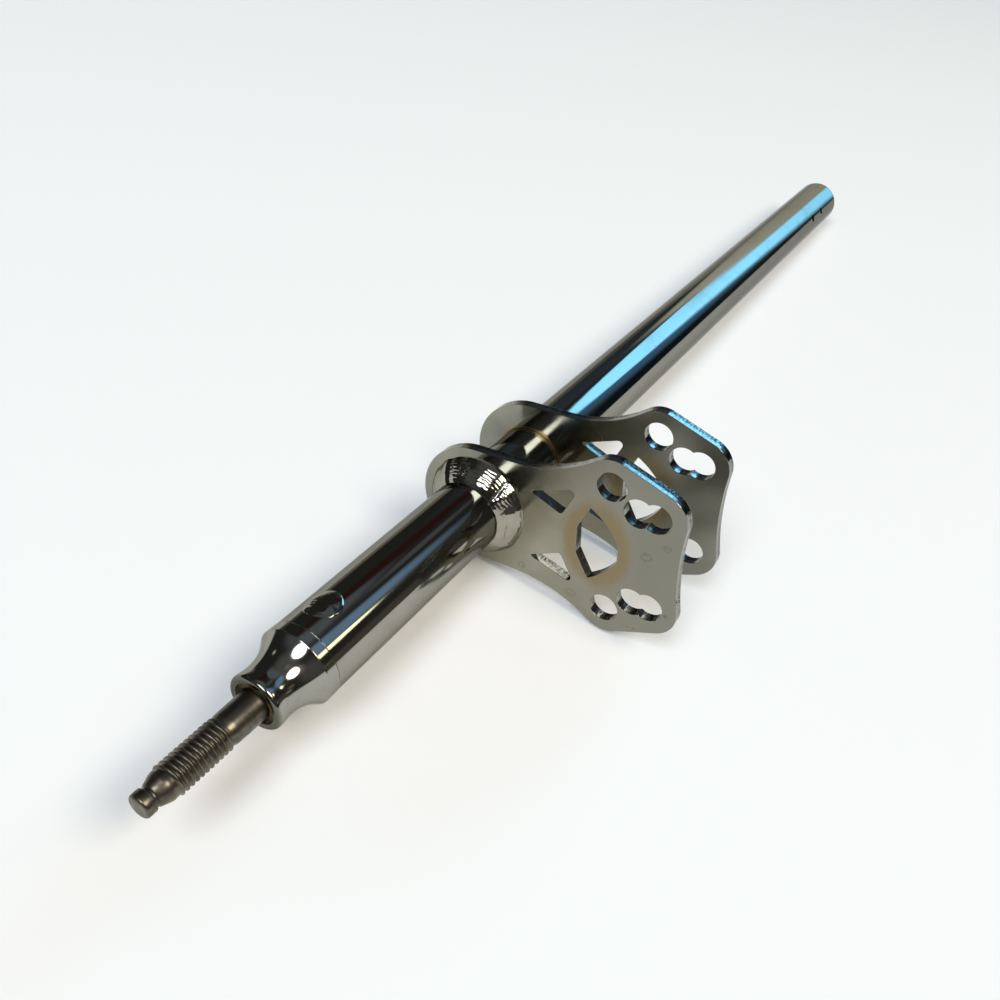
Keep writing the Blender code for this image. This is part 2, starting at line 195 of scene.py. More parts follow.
def turnPiece(name, profile, sides, closed=True):
    # One ring drawn out step by step as on a lathe. The profile holds (radius, height) in millimetres.
    pick()
    radius, height = profile[0]
    bpy.ops.mesh.primitive_circle_add(
        vertices=sides, radius=radius * mm, fill_type="NOTHING", location=(0, 0, height * mm)
    )
    piece = bpy.context.object
    piece.name = name
    bakePlace()
    bpy.ops.object.mode_set(mode="EDIT")
    bpy.ops.mesh.select_mode(type="EDGE")
    bpy.ops.mesh.select_all(action="SELECT")
    for nextRadius, nextHeight in profile[1:] + ([profile[0]] if closed else []):
        bpy.ops.mesh.extrude_region_move(
            TRANSFORM_OT_translate={"value": (0, 0, (nextHeight - height) * mm)}
        )
        grow = nextRadius / radius
        bpy.ops.transform.resize(value=(grow, grow, 1), center_override=(0, 0, nextHeight * mm))
        radius, height = nextRadius, nextHeight
    if not closed:
        bpy.ops.mesh.edge_face_add()
    weldPoints()
    closeMesh()
    return piece


def drill(piece, radius, height, angle):
    # A round hole square through the tube's axis.
    pick()
    bpy.ops.mesh.primitive_cylinder_add(
        vertices=64,
        radius=radius * mm,
        depth=50 * mm,
        location=(0, 0, height * mm),
        rotation=(0, math.pi / 2, math.radians(angle)),
    )
    bit = bpy.context.object
    pick(piece)
    cut = piece.modifiers.new("drill", "BOOLEAN")
    cut.operation = "DIFFERENCE"
    cut.solver = "EXACT"
    cut.object = bit
    bpy.ops.object.modifier_apply(modifier=cut.name)
    bpy.data.objects.remove(bit, do_unlink=True)


def smoothPiece(piece, angle):
    pick(piece)
    bpy.ops.object.shade_smooth_by_angle(angle=math.radians(angle))


def layPiece(piece):
    pick(piece)
    piece.matrix_world = layMatrix
    bakePlace()


def fitPiece(piece, node):
    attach(piece, "root")
    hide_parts(node)
    print("made", piece.name, len(piece.data.polygons), "faces")


def finishPiece(piece, material, smoothing, node):
    # smoothing: the angle, in degrees, below which an edge is shaded soft
    piece.data.materials.append(material)
    smoothPiece(piece, smoothing)
    layPiece(piece)
    fitPiece(piece, node)


# Bright plating on drawn tube: a mirror with faint lines along the draw, a few pits and a ring of heat tint.
# In every look a noise is scale, detail and roughness, an edge is where a mask starts and ends, and a bump is
# strength and depth in metres.
drawnPlating = {
    "colour": "#9f9d95",
    "hazeColour": "#949188",
    "pitColour": "#3b362f",
    "tintColour": "#967f4c",  # heat tint where the tube meets the upper plate
    "roughness": (0.07, 0.13),
    "glancing": 0.42,
    # draw lines are really a few hundredths of a millimetre apart; drawn at 0.3 mm so that they show
    "stretch": (3300, 3300, 40),
    "lines": (1, 3, 0.6),
    "lineBump": (0.25, 0.000004),
    "waves": (55, 1, 0.4),
    "waveBump": (1, 0.00004),
    "smears": (70, 4, 0.6),
    "smearEdge": (0.45, 0.8),
    "pitScale": 420,
    "pitEdge": (0.05, 0.09),
    "pitPlaces": (95, 1, 0.5),  # pits only where this noise is high
    "pitPlaceEdge": (0.6, 0.66),
    "tintHeight": 0.0977,
    "tintEdge": (0.0002, 0.0012),
    "tint": 0.75,
    "tintDulling": 0.3,  # more roughness in the tint
}
look = drawnPlating
platedTube, tree, shader, point, smears, hazed = startPlating("bright_plated_drawn_steel", look)
pits = addNode(tree, "TexVoronoi", {"Vector": point, "Scale": look["pitScale"], "Randomness": 1})
pitMask = addRamp(tree, pits.outputs["Distance"], *look["pitEdge"], 1, 0)
pitPlaces = addRamp(tree, addNoise(tree, point, *look["pitPlaces"]), *look["pitPlaceEdge"])
fewPits = addMath(tree, "MULTIPLY", pitMask, pitPlaces)
split = addNode(tree, "SeparateXYZ", {0: point})
fromTint = addMath(tree, "SUBTRACT", split.outputs["Z"], look["tintHeight"])
tint = addRamp(tree, addMath(tree, "ABSOLUTE", fromTint), *look["tintEdge"], look["tint"], 0)
tinted = addMix(tree, tint, hazed, look["tintColour"])
pitted = addMix(tree, fewPits, tinted, look["pitColour"])
gloss = addRamp(tree, smears, 0, 1, *look["roughness"])
dulled = addMath(tree, "MULTIPLY_ADD", tint, look["tintDulling"], gloss)
setInputs(tree, shader, {"Base Color": pitted, "Roughness": dulled})

# Tube: turned ring with broken edges, drilled for the puddle welds and for the wheel hub's pins.
tubeSize = {
    "radius": 10,
    "bore": 8,
    "length": 400,
    "lowerEdge": 0.06,
    "upperEdge": 0.2,
    "sides": 192,
    "lowerRings": (0.15, 0.3, 3, 14, 40, 66, 90, 104, 150, 200),  # heights of the mesh's rings
    "upperRings": (250, 300, 345, 357, 365, 371, 379, 390, 398.6, 399.4),
    "boreRings": (390, 350, 200, 20, 14),
    "puddleHole": (4.0, 8.2, -88),  # radius, height, angle round the tube
    "hubHoles": ((1.6, 375, -20), (1.6, 361, -20)),
}
tubeRadius, bore, length = tubeSize["radius"], tubeSize["bore"], tubeSize["length"]
low, high = tubeSize["lowerEdge"], tubeSize["upperEdge"]
tubeProfile = (
    arcPoints((tubeRadius - low, low), low, -90, 0, 3)
    + [(tubeRadius, ringHeight) for ringHeight in tubeSize["lowerRings"] + tubeSize["upperRings"]]
    + arcPoints((tubeRadius - high, length - high), high, 0, 90, 3)
    + arcPoints((bore + high, length - high), high, 90, 180, 3)
    + [(bore, ringHeight) for ringHeight in tubeSize["boreRings"]]
    + [(bore, low), (bore + low, 0)]
)
tube = turnPiece("columnTube", tubeProfile, tubeSize["sides"])
for hole in (tubeSize["puddleHole"], *tubeSize["hubHoles"]):
    drill(tube, *hole)
finishPiece(tube, platedTube, 30, "column_tube")

# Bright plating over turned steel: rings left by the tool, a little duller in the mouth, where painted shade
# also darkens the recess and the lip's end.
turnedPlating = {
    "colour": "#9f9d95",
    "hazeColour": "#928f86",
    "mouthShadeColour": "#6c6d61",
    "roughness": (0.09, 0.18),
    "glancing": 0.55,
    # tool rings are about 0.1 mm apart; drawn at 0.25 mm so that they show
    "stretch": (60, 60, 4000),
    "lines": (1, 2, 0.6),
    "lineBump": (0.3, 0.000003),
    "waves": (150, 1, 0.4),
    "waveBump": (1, 0.00002),
    "smears": (190, 4, 0.6),
    "smearEdge": (0.45, 0.8),
    "mouthEdge": (-0.0148, -0.0156),
}
look = turnedPlating
platedPlug, tree, shader, point, smears, hazed = startPlating("bright_plated_turned_steel", look)
split = addNode(tree, "SeparateXYZ", {0: point})
mouth = addRamp(tree, split.outputs["Z"], *look["mouthEdge"])
# painted shade: the recess and the lip's end are given a darker colour
mouthShaded = addMix(tree, mouth, hazed, look["mouthShadeColour"])
gloss = addRamp(tree, addMath(tree, "MAXIMUM", smears, mouth), 0, 1, *look["roughness"])
setInputs(tree, shader, {"Base Color": mouthShaded, "Roughness": gloss})

# Plug: spigot inside the tube, crisp collar over its end, flared nose and a round lip about the stud.
plugSize = {
    "spigot": (7.7, 18, 0.8),  # radius, height, chamfer
    "shoulder": (9.5, 0.13),  # radius, depth of the gap under the tube's end
    "collar": (10.1, 3.2),  # radius, depth below the tube
    "collarRound": (0.26, 0.12),  # depth, rounding of its upper edge
    "neck": (6.9, 12),
    "flare": (2.45, 1.3, 32),  # how hollow, how crowded towards the collar, steps
    "lip": (7.15, 15.8, 0.9),  # radius, depth, rounding
    "lipSteps": 8,
    "recess": (5.3, 14.8),
    "bore": 4.3,
    "sides": 160,
}
spigotRadius, spigotTop, chamfer = plugSize["spigot"]
collarRadius, collarEnd = plugSize["collar"]
roundDepth, collarRound = plugSize["collarRound"]
neckRadius, neckEnd = plugSize["neck"]
hollowness, crowding, flareSteps = plugSize["flare"]
lipRadius, plugEnd, lipRound = plugSize["lip"]
recessRadius, recessFloor = plugSize["recess"]
shoulderRadius, shoulderDepth = plugSize["shoulder"]
plugProfile = [(plugSize["bore"], spigotTop), (spigotRadius - chamfer, spigotTop)]
plugProfile += [(spigotRadius, spigotTop - chamfer), (spigotRadius, 0.3), (spigotRadius, 0.01 - shoulderDepth)]
plugProfile.append((shoulderRadius, -shoulderDepth))
plugProfile += arcPoints((collarRadius - collarRound, -roundDepth), collarRound, 90, 0, 3)
plugProfile += [(collarRadius, z) for z in (-0.3, -0.4, -1.6, -collarEnd + 0.25, -collarEnd + 0.12)]
plugProfile.append((collarRadius - 0.03, -collarEnd + 0.02))
for i in range(1, flareSteps + 1):
    share = (i / flareSteps) ** crowding
    fall = (1 - share) ** hollowness
    flareRadius = neckRadius + fall * (collarRadius - 0.05 - neckRadius)
    plugProfile.append((flareRadius, -collarEnd - share * (neckEnd - collarEnd)))
for i in range(1, plugSize["lipSteps"] + 1):
    share = i / plugSize["lipSteps"]
    rise = smoothstep(0, 1, share) * (lipRadius - neckRadius)
    plugProfile.append((neckRadius + rise, -neckEnd - share * (plugEnd - lipRound - neckEnd)))
plugProfile += arcPoints((lipRadius - lipRound, -(plugEnd - lipRound)), lipRound, 0, -90, 8)[1:]
plugProfile += [(recessRadius + 0.3, -plugEnd), (recessRadius + 0.1, -plugEnd + 0.1)]
plugProfile += [(recessRadius, -plugEnd + 0.3), (recessRadius, -recessFloor), (plugSize["bore"], -recessFloor)]
plug = turnPiece("endPlug", plugProfile, plugSize["sides"])
finishPiece(plug, platedPlug, 35, "end_plug")

# Unplated steel with old oil on it: brown-grey and half matt, with a painted golden highlight on the thread's
# crests.
oiledSteel = {
    "colour": "#6d665a",
    "darkColour": "#464037",
    "crestGlintColour": "#85775c",
    "roughness": (0.3, 0.46),
    "stretch": (220, 220, 2600),
    "marks": (1, 4, 0.65),
    "markBump": (0.5, 0.00002),
    "stains": (320, 5, 0.6),
    "stainEdge": (0.42, 0.7),
    "crestEdge": (0.0038, 0.00398),
    "crestGlint": 0.35,
    "threadEdge": (-0.0238, -0.0244),
}
look = oiledSteel
bareSteel, tree, shader, point = startMaterial("bare_oiled_steel")
marks = addNoise(tree, addVector(tree, "MULTIPLY", point, look["stretch"]), *look["marks"])
stains = addRamp(tree, addNoise(tree, point, *look["stains"]), *look["stainEdge"])
stained = addMix(tree, stains, look["colour"], look["darkColour"])
fromAxis = addVector(tree, "LENGTH", addVector(tree, "MULTIPLY", point, (1, 1, 0)))
crest = addRamp(tree, fromAxis, *look["crestEdge"], 0, look["crestGlint"])
split = addNode(tree, "SeparateXYZ", {0: point})
onThread = addRamp(tree, split.outputs["Z"], *look["threadEdge"])
# painted highlight: the thread's crests are lighter and golden all round
glintedCrests = addMix(tree, addMath(tree, "MULTIPLY", crest, onThread), stained, look["crestGlintColour"])
gloss = addRamp(tree, stains, 0, 1, *look["roughness"])
markBump = addBump(tree, marks, *look["markBump"])
setInputs(tree, shader, {"Base Color": glintedCrests, "Roughness": gloss, "Normal": markBump})

# Stud: shank with a small flare in the mouth, right-hand thread, cone, groove and a rounded button.
studSize = {
    "threadTop": -24.5,
    "pitch": 1.25,
    "turns": 12,
    "root": 3.54,
    "ridgeFoot": 3.3,  # inside the core
    "runOut": 0.5,  # turns over which the ridge sinks into the core at each end
    "tip": -45.9,
    "sides": 72,
}
root, foot, turns = studSize["root"], studSize["ridgeFoot"], studSize["turns"]
threadEnd = studSize["threadTop"] - studSize["pitch"] * turns
studProfile = [(6.4, 22.2), (6.4, 18.3), (3.9, 18.2), (3.95, -14.4), (4.08, -15.2), (3.96, -16), (3.9, -17)]
studProfile += [(3.87, -20), (3.83, -23), (3.74, -23.9), (3.55, -24.4), (root, -24.8)]
studProfile += [(root, threadEnd + 0.3), (3.56, threadEnd - 0.2), (3.6, threadEnd - 0.5)]
studProfile += [(3.42, -40.7), (3.08, -41.6), (2.8, -42.4), (2.6, -42.72), (2.4, -42.86), (2.35, -43.1)]
studProfile += [(2.4, -43.34), (2.62, -43.46)] + arcPoints((2.62, -43.72), 0.23, 60, 0, 3) + [(2.85, -44.6)]
studProfile += arcPoints((2.15, studSize["tip"] + 0.7), 0.7, 0, -90, 6)[1:] + [(1.2, -45.86), (0.3, -45.83)]
stud = turnPiece("lowerStud", studProfile, studSize["sides"], closed=False)
pick()
bpy.ops.mesh.primitive_plane_add(size=mm)  # becomes the ridge's section
ridge = bpy.context.object
ridge.name = "threadRidge"
openMesh()
bpy.ops.mesh.delete(type="ONLY_FACE")
bpy.ops.mesh.select_all(action="SELECT")
bpy.ops.mesh.subdivide(number_cuts=1)
bpy.ops.object.mode_set(mode="OBJECT")
flank = [(foot, 0.6), (root, 0.48), (3.9, 0.16), (3.98, 0.06)]
section = flank + [(radius, -height) for radius, height in reversed(flank)]
order = sorted(ridge.data.vertices, key=lambda v: math.atan2(v.co.y, v.co.x))
for vertex, (radius, height) in zip(order, section):
    vertex.co = (radius * mm, 0, (threadEnd + height) * mm)
coil = ridge.modifiers.new("coil", "SCREW")
coil.axis = "Z"
coil.screw_offset = studSize["pitch"] * mm
coil.iterations = turns
coil.steps = coil.render_steps = studSize["sides"]
bpy.ops.object.modifier_apply(modifier=coil.name)
for vertex in ridge.data.vertices:
    angle = math.atan2(vertex.co.y, vertex.co.x) / (2 * math.pi)
    risen = (vertex.co.z / mm - threadEnd) / studSize["pitch"]
    turnsUp = angle + round(risen - angle)
    fade = smoothstep(0, studSize["runOut"], turnsUp) * smoothstep(0, studSize["runOut"], turns - turnsUp)
    ridgeReach = math.hypot(vertex.co.x, vertex.co.y) / mm
    wanted = foot + (ridgeReach - foot) * fade
    vertex.co.x *= wanted / ridgeReach
    vertex.co.y *= wanted / ridgeReach
pick(ridge, stud)
bpy.ops.object.join()
openMesh()
closeMesh()
finishPiece(stud, bareSteel, 40, "lower_stud")

# Braze: dull gold gone brown, with a wrinkled skin.
brazeLook = {
    "colour": "#5f4b2c",
    "darkColour": "#29231a",
    "roughness": 0.34,
    "skin": (700, 5, 0.6),
    "skinBump": (0.6, 0.00008),
}
look = brazeLook
brazeMetal, tree, shader, point = startMaterial("dull_gold_braze")
skin = addNoise(tree, point, *look["skin"])
browned = addMix(tree, skin, look["colour"], look["darkColour"])
skinBump = addBump(tree, skin, *look["skinBump"])
setInputs(tree, shader, {"Base Color": browned, "Roughness": look["roughness"], "Normal": skinBump})

# Braze ring: a small fillet between the stud and the plug's recess, its face a little uneven.
brazeSize = {"inner": 3.9, "outer": 5.32, "floor": -14.6, "unevenBelow": -14.8, "uneven": 0.09, "sides": 96}
inner, outer, brazeFloor = brazeSize["inner"], brazeSize["outer"], brazeSize["floor"]
ringProfile = [(inner, brazeFloor), (outer, brazeFloor), (outer, -15.0), (5.05, -14.96), (4.7, -15.0)]
ringProfile += [(4.4, -15.08), (4.15, -15.28), (inner, -15.6)]
ring = turnPiece("studBrazeRing", ringProfile, brazeSize["sides"])
for vertex in ring.data.vertices:
    if vertex.co.z < brazeSize["unevenBelow"] * mm:
        vertex.co.z += brazeSize["uneven"] * mm * noise.noise(vertex.co * 900)
finishPiece(ring, brazeMetal, 50, "stud_braze_ring")

# Satin plating on rolled sheet: a soft warm sheen, painted shade towards the lobes, a tan bloom of heat round
# the window, small water stains.
satinPlating = {
    "colour": "#9b998b",
    "cloudColour": "#8f8d80",
    "armShadeColour": "#86857c",  # painted shade: towards the lobes the face is darker and greyer
    "bloomColour": "#8a7b5c",
    "heatColour": "#9a7f45",
    "stainColour": "#6d6756",
    "roughness": (0.08, 0.13),
    "glossEdge": (0.3, 0.7),
    "clouds": (85, 4, 0.6),
    "cloudEdge": (0.35, 0.7),
    # the sheet's grain is about 0.05 mm; drawn at 0.8 mm so that it shows
    "grain": (1000, 2, 0.5),
    "grainBump": (0.25, 0.00001),
    "armShadeEdge": (0.016, 0.056),
    "armShadeShare": 0.9,
    "dullEdge": (0.0155, 0.031),
    "armDulling": 0.2,  # more roughness away from the tube
    "ragged": (260, 4, 0.5),  # breaks the rims of the bloom and of the heat tint
    "bloomMiddle": (0.0364, 0, 0),
    "bloomScale": (1 / 0.0102, 1 / 0.0135, 0),
    "bloomRagged": 0.16,
    "bloomEdge": (0.76, 1.12),
    "bloom": 0.85,
    "heatRagged": 0.001,
    "heatEdge": (0.0101, 0.0109),
    "heat": 0.85,
    "heatDulling": 0.3,
    "stainSide": (0.0705, 0.0712),  # stains lie on the lower plate's face towards the stud
    "wander": 0.0022,  # how far their outlines stray, so that none is a true circle
    "wanderScale": 420,
    "spots": ((57.1, 14.7, 0.7), (47.0, 22.8, 0.45), (48.5, 22.5, 0.4), (45.5, 22.8, 0.3), (29.6, -7.4, 0.4)),
    "spotCore": 0.3,
    "spotShare": 0.8,
    "rings": ((50.5, -1.9, 1.3), (55.2, -6.4, 0.8), (29.7, 18.4, 1.1), (14.0, 15.2, 0.9)),
    "rimEdge": (0.05, 0.6),
    "rimShare": 0.4,
}
look = satinPlating
satinFace, tree, shader, point = startMaterial("satin_plated_sheet_steel")
onSheet = addVector(tree, "MULTIPLY", point, (1, 1, 0))
split = addNode(tree, "SeparateXYZ", {0: point})
clouds = addNoise(tree, point, *look["clouds"])
mixed = addMix(tree, addRamp(tree, clouds, *look["cloudEdge"]), look["colour"], look["cloudColour"])
# painted shade: the face darkens and greys along the arm, away from the tube
armShadeMask = addRamp(tree, split.outputs["X"], *look["armShadeEdge"], 0, look["armShadeShare"], soft=True)
mixed = addMix(tree, armShadeMask, mixed, look["armShadeColour"])
# bloom: an oval patch of heat round the window
ragged = addNoise(tree, point, *look["ragged"])
fromWindow = addVector(tree, "SUBTRACT", onSheet, look["bloomMiddle"])
windowReach = addVector(tree, "LENGTH", addVector(tree, "MULTIPLY", fromWindow, look["bloomScale"]))
strayed = addMath(tree, "MULTIPLY_ADD", ragged, look["bloomRagged"], -0.5 * look["bloomRagged"])
bloomReach = addMath(tree, "ADD", windowReach, strayed)
bloom = addRamp(tree, bloomReach, *look["bloomEdge"], look["bloom"], 0, soft=True)
mixed = addMix(tree, bloom, mixed, look["bloomColour"])
# heat tint round the tube
tubeReach = addVector(tree, "LENGTH", onSheet)
strayed = addMath(tree, "MULTIPLY_ADD", ragged, look["heatRagged"], -0.5 * look["heatRagged"])
heat = addRamp(tree, addMath(tree, "ADD", tubeReach, strayed), *look["heatEdge"], look["heat"], 0)
mixed = addMix(tree, heat, mixed, look["heatColour"])
# water stains: filled spots and dried rims
wander = addNode(tree, "TexNoise", {"Vector": point, "Scale": look["wanderScale"], "Detail": 2})
wanderWide, wanderHalf = (look["wander"], look["wander"], 0), (-0.5 * look["wander"], -0.5 * look["wander"], 0)
wanderBy = addVector(tree, "MULTIPLY_ADD", wander.outputs["Color"], wanderWide, wanderHalf)
wandered = addVector(tree, "ADD", onSheet, wanderBy)
stains = 0
for x, y, size in look["spots"]:
    away = addVector(tree, "DISTANCE", wandered, (x * mm, y * mm, 0))
    spot = addRamp(tree, away, look["spotCore"] * size * mm, size * mm, look["spotShare"], 0, soft=True)
    stains = addMath(tree, "MAXIMUM", spot, stains)
for x, y, size in look["rings"]:
    away = addVector(tree, "DISTANCE", wandered, (x * mm, y * mm, 0))
    fromRim = addMath(tree, "ABSOLUTE", addMath(tree, "SUBTRACT", away, size * mm))
    rimStart, rimEnd = [edge * mm for edge in look["rimEdge"]]
    rim = addRamp(tree, fromRim, rimStart, rimEnd, look["rimShare"], 0, soft=True)
    stains = addMath(tree, "MAXIMUM", rim, stains)
lowerSide = addRamp(tree, split.outputs["Z"], *look["stainSide"], 1, 0)
mixed = addMix(tree, addMath(tree, "MULTIPLY", stains, lowerSide), mixed, look["stainColour"])
gloss = addRamp(tree, clouds, *look["glossEdge"], *look["roughness"])
offTube = addRamp(tree, tubeReach, *look["dullEdge"], soft=True)
dulled = addMath(tree, "MULTIPLY_ADD", offTube, look["armDulling"], gloss)
heated = addMath(tree, "MULTIPLY_ADD", heat, look["heatDulling"], dulled)
grainBump = addBump(tree, addNoise(tree, point, *look["grain"]), *look["grainBump"])
setInputs(tree, shader, {"Base Color": mixed, "Roughness": heated, "Normal": grainBump})

# Plating over a laser-cut edge: smooth on the side where the cut began, ridged beyond, so that it breaks up
# what it mirrors. The ridged half's dark speckle is partly the cut's own and partly painted shade.
cutEdge = {
    "colour": "#a8a69f",
    "darkColour": "#47484a",
    "roughness": (0.05, 0.16),
    "glancing": 0.7,
    "lowerFace": 0.07,  # where the lower plate begins
    "plateStep": 0.0284,  # from it to the upper one
    "ridgeEdge": (0.0011, 0.0017),
    "ridgeLeast": 0.3,
    # laser ridges are about 0.15 mm apart; drawn at 0.45 mm so that they show
    "stretch": (2200, 2200, 900),
    "ridges": (1, 3, 0.65, 0.3),  # with a distortion
    "speckleEdge": (0.43, 0.6),
    "leanEdge": (0.0012, 0.003),
    "lean": 1.58,  # the cut leans 2 degrees
    "ridgeDepth": 0.00004,
}
look = cutEdge
brightEdge, tree, shader, point = startMaterial("bright_plated_cut_edge", look["glancing"])
split = addNode(tree, "SeparateXYZ", {0: point})
abovePlate = addMath(tree, "SUBTRACT", split.outputs["Z"], look["lowerFace"])
intoPlate = addMath(tree, "MODULO", abovePlate, look["plateStep"])
ridged = addRamp(tree, intoPlate, *look["ridgeEdge"], look["ridgeLeast"])
ridges = addNoise(tree, addVector(tree, "MULTIPLY", point, look["stretch"]), *look["ridges"])
speckle = addRamp(tree, ridges, *look["speckleEdge"])
# dark speckle on the ridged half: partly the cut's own, partly painted shade for that half's darker reflection
speckleAndShade = addMix(tree, addMath(tree, "MULTIPLY", speckle, ridged), look["colour"], look["darkColour"])
gloss = addRamp(tree, speckle, 0, 1, *look["roughness"])
lean = addRamp(tree, intoPlate, *look["leanEdge"], 0, look["lean"])
ridgeBump = addBump(tree, addMath(tree, "ADD", ridges, lean), ridged, look["ridgeDepth"])
setInputs(tree, shader, {"Base Color": speckleAndShade, "Roughness": gloss, "Normal": ridgeBump})

# Arm plates: one flat outline with its holes, given a thickness with a small round on every rim.
plateSize = {
    "thickness": 3,
    "rimRound": 0.08,
    "head": 17.5,
    "tubeHole": 10.02,
    "single": ((39.7, 19.3), 7.6),  # bolt hole and the radius of the lobe round it
    "pair": ((47.3, 14.0), (52.0, 14.0), 8.0),  # overlapping bolt holes and the radius of the tip
    "bolt": 4.1,
    "neckRound": 40,
    "reach": 59,
    "window": ((42.5, 2.8), (34.4, 11.2), (30.7, 4.1), 0.8),  # corners of its half, bulge of the first side
    "slit": (((16.6, 10.5), 0.4), ((30.8, 15.5), 1.2), ((26.1, 6.3), 1.0)),  # corners with their rounding
    "heights": (71.5, 99.9),
    "smoothing": 20,  # under the rim's steps, so that the faces stay flat mirrors
}


def towards(start, end):
    return math.degrees(math.atan2(end[1] - start[1], end[0] - start[0]))


def mirrored(points):
    return [(x, -y) for x, y in reversed(points)]


def roundCorners(corners):
    # each corner comes as (point, rounding)
    points = []
    for i, (corner, rounding) in enumerate(corners):
        here = Vector(corner)
        back = (Vector(corners[i - 1][0]) - here).normalized()
        ahead = (Vector(corners[(i + 1) % len(corners)][0]) - here).normalized()
        half = 0.5 * back.angle(ahead)
        middle = here + (back + ahead).normalized() * (rounding / math.sin(half))
        start = here + back * (rounding / math.tan(half)) - middle
        end = here + ahead * (rounding / math.tan(half)) - middle
        first = math.degrees(math.atan2(start.y, start.x))
        sweep = math.degrees(math.atan2(start.x * end.y - start.y * end.x, start.dot(end)))
        points += arcPoints(middle, rounding, first, first + sweep, 8)
    return points


def outlineLoop():
    # upper half: hollow between the tips, tip, lobe, neck and head, each running into the next
    lobe, lobeRadius = plateSize["single"]
    tip, tipRadius = plateSize["pair"][1:]
    head, reach, neck = plateSize["head"], plateSize["reach"], plateSize["neckRound"]
    lean = towards(tip, lobe) - math.degrees(math.acos((tipRadius - lobeRadius) / math.dist(lobe, tip)))
    hollow = (tipRadius**2 - tip[0] ** 2 - tip[1] ** 2 - reach**2 + 2 * reach * tip[0]) / (
        2 * (reach - tip[0] - tipRadius)
    )
    hollowCentre = (reach + hollow, 0)
    neckCentre = (lobe[0] - math.sqrt((neck + lobeRadius) ** 2 - (head + neck - lobe[1]) ** 2), head + neck)
    half = arcPoints(hollowCentre, hollow, 180, towards(hollowCentre, tip) % 360, 24)[:-1]
    half += arcPoints(tip, tipRadius, towards(tip, hollowCentre), lean, 32)
    half += arcPoints(lobe, lobeRadius, lean, towards(lobe, neckCentre), 36)
    half += arcPoints(neckCentre, neck, towards(neckCentre, lobe), -90, 36)[1:]
    half += arcPoints((0, 0), head, 90, 180, 48)[1:]
    return half + mirrored(half)[1:-1]


def windowLoop():
    far, corner, near, bulge = plateSize["window"]
    run = Vector(corner) - Vector(far)
    out = Vector((run.y, -run.x)).normalized() * bulge
    shares = [i / 16 for i in range(16)]
    half = [tuple(Vector(far) + run * share + out * (4 * share * (1 - share))) for share in shares]
    half += [corner, near]
    return half + mirrored(half)


def plateLoops():
    lobe = plateSize["single"][0]
    inner, outer = plateSize["pair"][:2]
    bolt = plateSize["bolt"]
    loops = [outlineLoop(), arcPoints((0, 0), plateSize["tubeHole"], 0, 360, 128)[:-1], windowLoop()]
    mouth = math.degrees(math.acos(0.5 * math.dist(inner, outer) / bolt))
    for side in (1, -1):
        loops.append(arcPoints((lobe[0], side * lobe[1]), bolt, 0, 360, 72)[:-1])
        pair = arcPoints((outer[0], side * outer[1]), bolt, mouth - 180, 180 - mouth, 48)[:-1]
        pair += arcPoints((inner[0], side * inner[1]), bolt, mouth, 360 - mouth, 48)[:-1]
        loops.append(pair)
        loops.append(roundCorners([((x, side * y), rounding) for (x, y), rounding in plateSize["slit"]]))
    return loops


pick()
plateShape = bpy.data.curves.new("armPlate", "CURVE")
plateShape.dimensions = "2D"
plateShape.fill_mode = "BOTH"
plateShape.bevel_depth = plateSize["rimRound"] * mm
plateShape.bevel_resolution = 1
plateShape.offset = -plateSize["rimRound"] * mm
plateShape.extrude = (0.5 * plateSize["thickness"] - plateSize["rimRound"]) * mm
for loop in plateLoops():
    spline = plateShape.splines.new("POLY")
    spline.points.add(len(loop) - 1)
    for splinePoint, (x, y) in zip(spline.points, loop):
        splinePoint.co = (x * mm, y * mm, 0, 1)
    spline.use_cyclic_u = True
pick(addObject("lowerArmPlate", plateShape))
bpy.ops.object.convert(target="MESH")
lowerPlate = bpy.context.object
bpy.ops.object.mode_set(mode="EDIT")
weldPoints()
closeMesh()
lowerPlate.data.materials.clear()
lowerPlate.data.materials.append(satinFace)
lowerPlate.data.materials.append(brightEdge)
for face in lowerPlate.data.polygons:
    face.material_index = 0 if abs(face.normal.z) > 0.999 else 1
smoothPiece(lowerPlate, plateSize["smoothing"])
upperPlate = addObject("upperArmPlate", lowerPlate.data.copy())
for piece, height in zip((lowerPlate, upperPlate), plateSize["heights"]):
    pick(piece)
    piece.location = (0, 0, height * mm)
    bakePlace()

# Burr: a hooked lump of plating on the lower plate's outer edge.
burrSize = {
    "place": (59.8, 9.05, 70.4),
    "radius": 0.55,
    "uneven": (0.5, 4000),  # share, scale
    "hook": 1500,
    "stretch": (0.7, 1.5, 0.8, 1),
}
pick()
bpy.ops.mesh.primitive_uv_sphere_add(segments=16, ring_count=10, radius=burrSize["radius"] * mm)
burr = bpy.context.object
uneven, unevenScale = burrSize["uneven"]
for vertex in burr.data.vertices:
    vertex.co *= 1 + uneven * noise.noise(vertex.co * unevenScale)
    vertex.co.x += burrSize["hook"] * vertex.co.y**2
burrPlace = Matrix.Translation([part * mm for part in burrSize["place"]])
burr.matrix_world = burrPlace @ Matrix.Diagonal(burrSize["stretch"])
bakePlace()
burr.data.materials.append(brightEdge)
pick(burr, lowerPlate)
bpy.ops.object.join()
for piece, node in ((lowerPlate, "lower_arm_plate"), (upperPlate, "upper_arm_plate")):
    layPiece(piece)
    fitPiece(piece, node)

